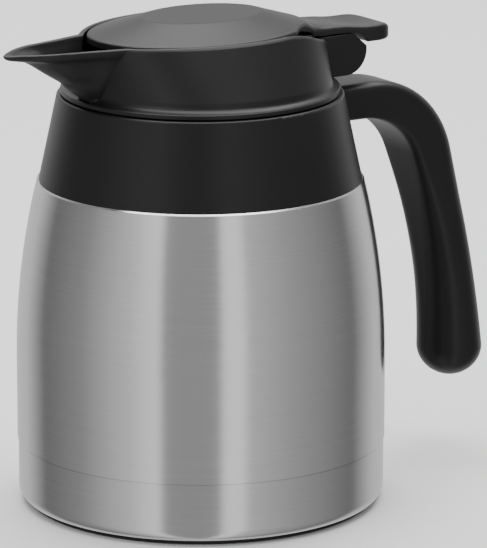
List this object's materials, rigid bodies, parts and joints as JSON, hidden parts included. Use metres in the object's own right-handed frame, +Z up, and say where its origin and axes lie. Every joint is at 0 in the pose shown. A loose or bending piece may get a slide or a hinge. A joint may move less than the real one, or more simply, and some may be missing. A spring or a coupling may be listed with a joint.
{
  "type": "vacuum insulated carafe",
  "caption": "Steel vacuum carafe with a black screw lid, open pouring spout, domed thumb lever that lifts the pouring valve, and a free-ended handle.",
  "frame": {"origin": "centre of the flat foot pad, on the vessel's axis, at the surface it stands on", "axes": "+Z up along the vessel's axis, spout along -X, handle along +X"},
  "size_m": [0.2005, 0.13, 0.1738],
  "materials": {
    "body_steel": "satin, fine vertical sheen",
    "base_steel": "satin",
    "liner_steel": "electropolished",
    "foil": "bright foil",
    "getter": "dull metal",
    "sealing_bead": "fused bead",
    "foot_rubber": "matt",
    "collar_plastic": "fine satin grain",
    "silicone": "soft, slightly translucent",
    "spring_steel": "drawn wire",
    "handle_plastic": "smooth satin",
    "handle_cover_plastic": "smooth satin",
    "screw_steel": "zinc plated",
    "lid_plastic": "fine satin grain",
    "stopper_plastic": "smooth",
    "inner_plastic": "smooth white moulding",
    "pin_steel": "ground",
    "lever_plastic": "fine satin grain"
  },
  "bodies": {
    "vessel": {"outer_shell": "body_steel", "base_cup": "base_steel", "inner_liner": "liner_steel", "reflective_foil": "foil", "getter_capsule": "getter", "evacuation_seal": "sealing_bead", "foot_pad": "foot_rubber", "shoulder_collar": "collar_plastic", "collar_gasket": "silicone", "collar_retaining_ring": "spring_steel", "handle_shell": "handle_plastic", "handle_inner_cover": "handle_cover_plastic", "handle_fixing_screws": "screw_steel"},
    "lid_seal": {"mouth_gasket": "silicone"},
    "lid": {"lid_body": "lid_plastic", "stopper": "stopper_plastic", "stopper_screws": "screw_steel", "stem_guide": "inner_plastic", "hinge_pin": "pin_steel", "hinge_pin_plug": "lid_plastic", "valve_spring": "spring_steel"},
    "lever": {"lever_cover": "lever_plastic", "lever_plate": "inner_plastic", "lever_screws": "screw_steel"},
    "valve": {"valve_stem": "inner_plastic", "fork_pin": "pin_steel", "valve_disc": "inner_plastic", "valve_gasket": "silicone", "valve_nut": "inner_plastic"}
  },
  "joints": [
    {"name": "lid_rise", "type": "slide", "parent": "vessel", "child": "lid_seal", "axis": [0, 0, 1], "range_m": [0, 0.0084]},
    {"name": "lid_turn", "type": "hinge", "parent": "lid_seal", "child": "lid", "pos_m": [0, 0, 0.147], "axis": [0, 0, 1], "range_deg": [0, 200]},
    {"name": "lever_press", "type": "hinge", "parent": "lid", "child": "lever", "pos_m": [0.0545, 0, 0.156], "axis": [0, 1, 0], "range_deg": [0, 8], "stiffness_Nm_per_rad": 0.6, "springref_deg": -8.59},
    {"name": "valve_lift", "type": "slide", "parent": "lid", "child": "valve", "axis": [0, 0, 1], "range_m": [0, 0.0077], "deforming": ["valve_spring"]}
  ],
  "couplings": [
    {"joint": "lid_rise", "follows": "lid_turn", "m_per_rad": 0.0023873},
    {"joint": "valve_lift", "follows": "lever_press", "m_per_rad": 0.0545}
  ]
}
